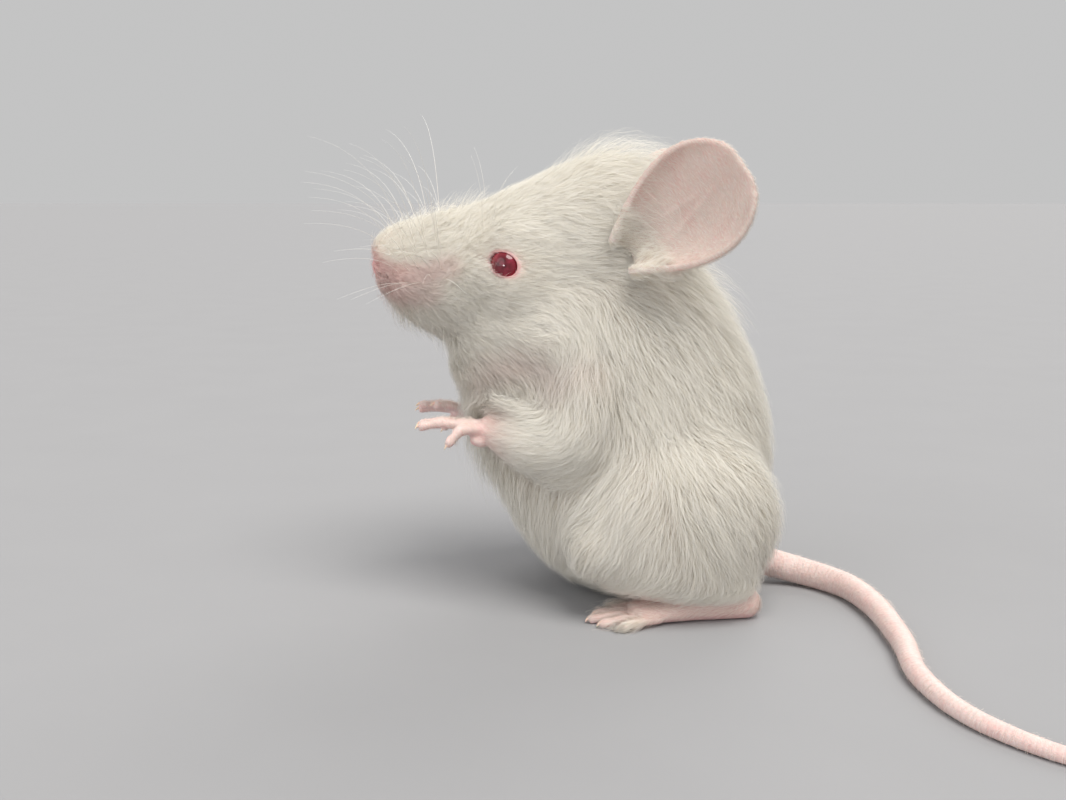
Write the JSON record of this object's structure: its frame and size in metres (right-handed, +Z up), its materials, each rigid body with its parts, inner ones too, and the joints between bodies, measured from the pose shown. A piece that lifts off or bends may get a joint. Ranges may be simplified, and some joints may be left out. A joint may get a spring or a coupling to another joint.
{
  "type": "white pet mouse",
  "caption": "Life-size still model of an albino pet mouse sitting up on its haunches, forepaws held before the chest and the tail laid on the floor.",
  "frame": {"origin": "on the floor, under the middle of the model's bounding box", "axes": "+Z up; the mouse faces -X, so its left side is towards -Y; the tail curves round to its left"},
  "size_m": [0.0824, 0.0692, 0.0533],
  "materials": {
    "coat": "short dense soft fur, warm white",
    "bare_skin": "thin pink skin with fine creases and sparse short hairs",
    "ear_skin": "thin pink translucent skin with a fine white down",
    "tail_skin": "pale pink skin in fine rings of scales with sparse short hairs",
    "eye": "wet ruby red, glossy"
  },
  "bodies": {
    "root": {"ear_left": "ear_skin", "ear_right": "ear_skin", "eye_left": "eye", "eye_right": "eye", "foreleg_left": "coat", "foreleg_right": "coat", "forepaw_left": "bare_skin", "forepaw_right": "bare_skin", "head": "coat", "hindfoot_left": "bare_skin", "hindfoot_right": "bare_skin", "hindleg_left": "coat", "hindleg_right": "coat", "neck": "coat", "nose": "bare_skin", "tail_middle": "tail_skin", "tail_root": "tail_skin", "tail_tip": "tail_skin", "trunk": "coat"}
  },
  "joints": []
}
